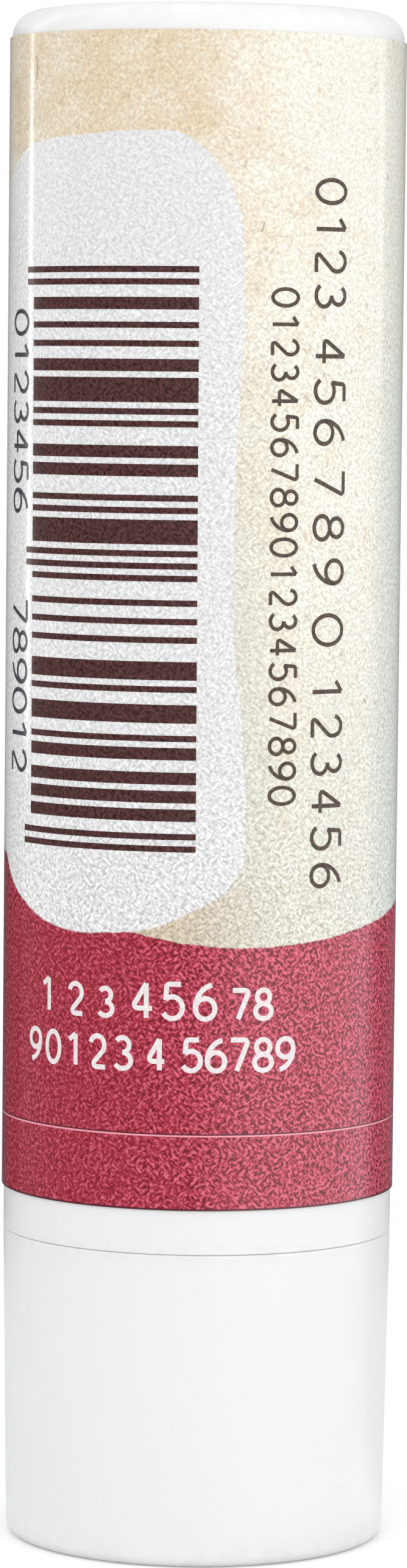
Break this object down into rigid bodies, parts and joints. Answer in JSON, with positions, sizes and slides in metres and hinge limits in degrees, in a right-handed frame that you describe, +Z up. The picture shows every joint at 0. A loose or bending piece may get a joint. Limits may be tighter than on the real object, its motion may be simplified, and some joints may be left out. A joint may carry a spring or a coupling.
{
  "type": "lip balm stick",
  "caption": "Twist-up lip balm stick with a pull-off cap, a wrapped film label, a turning base, a screw spindle, a keyed elevator and a domed wax stick.",
  "frame": {"origin": "centre of the base's foot, on the surface that the stick stands on", "axes": "+Z up along the stick's axis, towards the cap; -Y towards the side of the label that the picture shows; +X to the right of that side"},
  "size_m": [0.0176, 0.0176, 0.0677],
  "materials": {
    "shell_plastic": "moulded white plastic, satin, faintly marked from use",
    "inner_plastic": "moulded natural white plastic, unpolished",
    "label_cream": "printed film, cream ground with a pale panel and a raspberry foot, satin varnish",
    "label_red": "printed film, raspberry, satin varnish",
    "balm_wax": "cast wax, soft sheen"
  },
  "bodies": {
    "barrel": {"barrel": "shell_plastic", "collar_label": "label_red"},
    "dial": {"base_dial": "shell_plastic", "spindle": "inner_plastic"},
    "elevator": {"elevator": "inner_plastic", "balm_stick": "balm_wax"},
    "cap": {"cap": "shell_plastic", "cap_label": "label_cream"}
  },
  "joints": [
    {"name": "dial_turn", "type": "hinge", "parent": "barrel", "child": "dial", "pos_m": [0, 0, 0], "axis": [0, 0, 1], "range_deg": [0, 4320]},
    {"name": "elevator_rise", "type": "slide", "parent": "barrel", "child": "elevator", "axis": [0, 0, 1], "range_m": [0, 0.0384]},
    {"name": "cap_lift", "type": "slide", "parent": "elevator", "child": "cap", "axis": [0, 0, 1], "range_m": [0, 0.045]}
  ],
  "couplings": [
    {"joint": "dial_turn", "follows": "elevator_rise", "rad_per_m": 1963.5}
  ]
}
